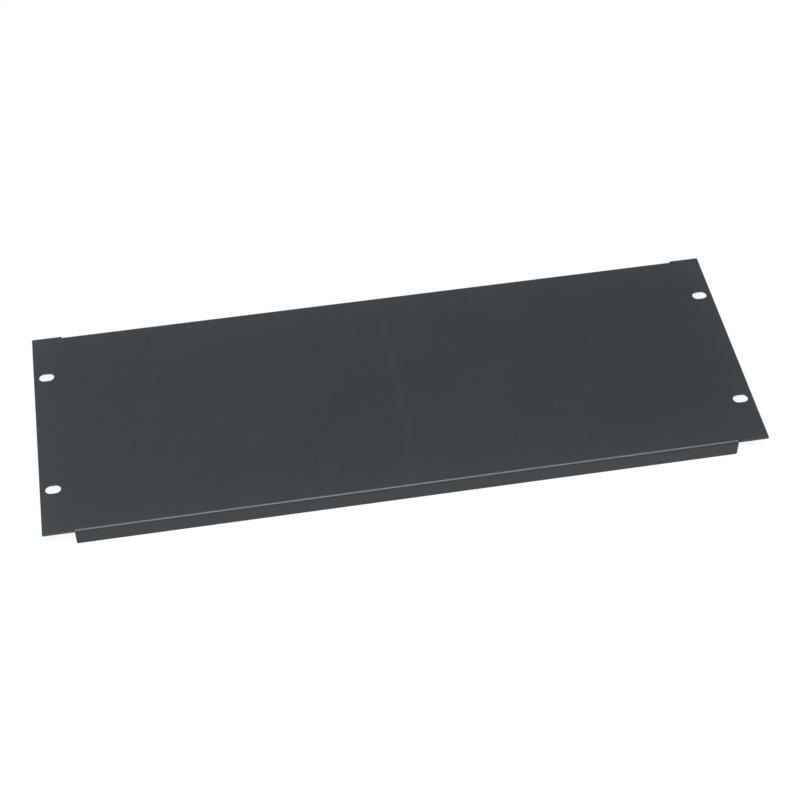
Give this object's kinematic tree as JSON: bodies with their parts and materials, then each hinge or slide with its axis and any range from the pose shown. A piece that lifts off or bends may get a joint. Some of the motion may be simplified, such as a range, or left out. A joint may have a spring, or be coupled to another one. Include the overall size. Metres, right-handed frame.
{
  "type": "rack blanking panel",
  "caption": "Flanged steel blanking panel that closes an unused opening in a 19 inch equipment rack, with slotted ears and both long edges folded back.",
  "frame": {"origin": "centre of the panel in the plane that it lies on, which the free edges of its two flanges touch", "axes": "+X along the panel's width, +Y across its height towards the edge that is uppermost in a rack, +Z out of the front face"},
  "size_m": [0.4826, 0.177, 0.0127],
  "materials": {
    "powder_coat": "fine-grained satin powder coat, dark slate grey"
  },
  "bodies": {
    "root": {"blanking_panel": "powder_coat"}
  },
  "joints": []
}
